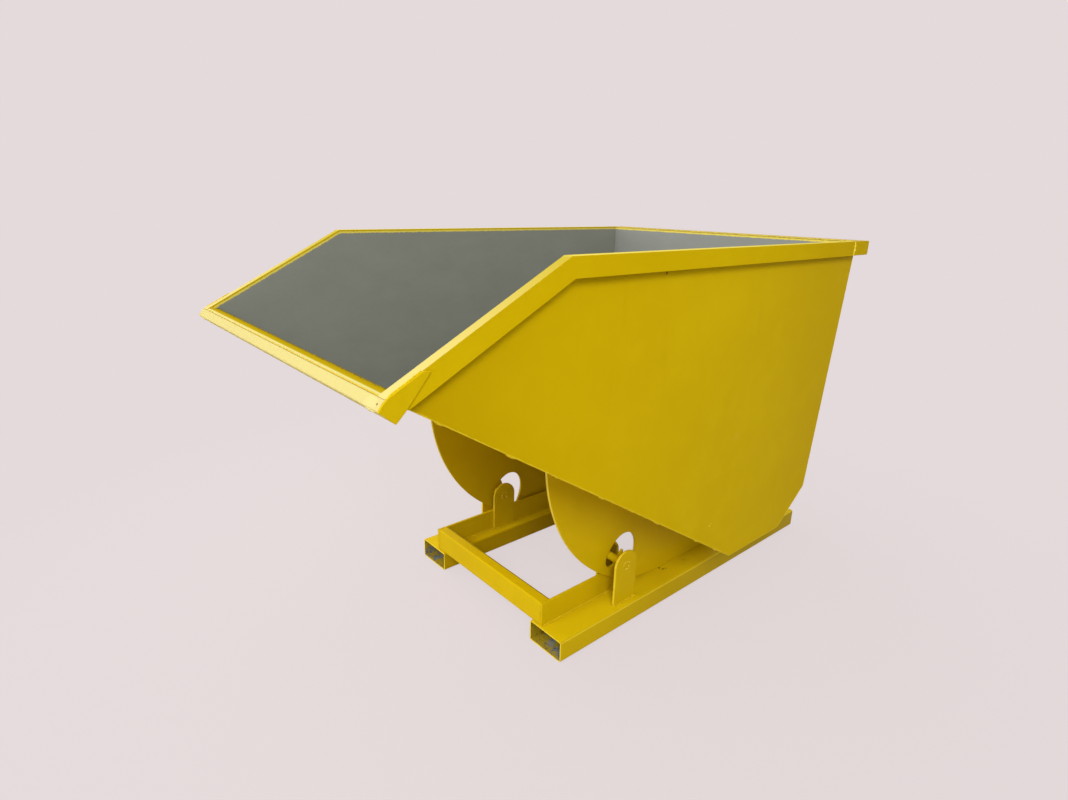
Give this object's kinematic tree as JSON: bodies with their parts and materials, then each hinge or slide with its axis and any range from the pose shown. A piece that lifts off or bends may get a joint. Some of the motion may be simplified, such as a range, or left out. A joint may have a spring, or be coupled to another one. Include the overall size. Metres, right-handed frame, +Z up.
{
  "type": "self-tipping hopper",
  "caption": "Yellow steel self-tipping hopper: an open bucket rolls forward on two rockers along fork tubes, guided by fixed pins in curved slots.",
  "frame": {"origin": "centre of the bounding box's underside, on the ground", "axes": "+Z up, pouring lip towards -Y, +X is the left side seen from behind the lip, which is the near side in the picture"},
  "size_m": [1.284, 2.243, 1.363],
  "materials": {
    "yellow_paint": "sprayed traffic-yellow enamel over welded steel plate, light orange peel",
    "bare_steel": "plain turned bar and hexagon stock, dull"
  },
  "bodies": {
    "base": {"fork_tube_left": "yellow_paint", "fork_tube_right": "yellow_paint", "guide_rail_left": "yellow_paint", "guide_rail_right": "yellow_paint", "front_crossbar": "yellow_paint", "rear_crossbar": "yellow_paint", "inner_bracket_left": "yellow_paint", "inner_bracket_right": "yellow_paint", "outer_bracket_left": "yellow_paint", "outer_bracket_right": "yellow_paint", "guide_pin_left": "yellow_paint", "guide_pin_right": "yellow_paint", "latch_ears": "yellow_paint", "latch_stop": "yellow_paint", "latch_pivot_bolt": "bare_steel"},
    "roll_centre": {"centre_plug_left": "yellow_paint", "centre_plug_right": "yellow_paint"},
    "bucket": {"side_panel_left": "yellow_paint", "side_panel_right": "yellow_paint", "floor_plate": "yellow_paint", "bottom_plate": "yellow_paint", "rear_lower_plate": "yellow_paint", "rear_panel": "yellow_paint", "side_rim_left": "yellow_paint", "side_rim_right": "yellow_paint", "rear_rim": "yellow_paint", "lip_section": "yellow_paint", "lip_ledge": "yellow_paint", "lip_gusset_left": "yellow_paint", "lip_gusset_right": "yellow_paint", "rocker_left": "yellow_paint", "rocker_right": "yellow_paint", "rocker_tie": "yellow_paint", "striker_lugs": "yellow_paint", "striker_bar": "bare_steel"},
    "latch": {"latch_arm": "yellow_paint", "latch_handle": "bare_steel"}
  },
  "joints": [
    {"name": "bucket_roll", "type": "slide", "parent": "base", "child": "roll_centre", "axis": [0, -1, 0], "range_m": [0, 0.6145]},
    {"name": "bucket_tip", "type": "hinge", "parent": "roll_centre", "child": "bucket", "pos_m": [0, 0.2235, 0.7203], "axis": [1, 0, 0], "range_deg": [0, 55]},
    {"name": "latch_swing", "type": "hinge", "parent": "base", "child": "latch", "pos_m": [0, 1.034, 0.215], "axis": [1, 0, 0], "range_deg": [0, 80]}
  ],
  "couplings": [
    {"joint": "bucket_roll", "follows": "bucket_tip", "m_per_rad": 0.64}
  ]
}
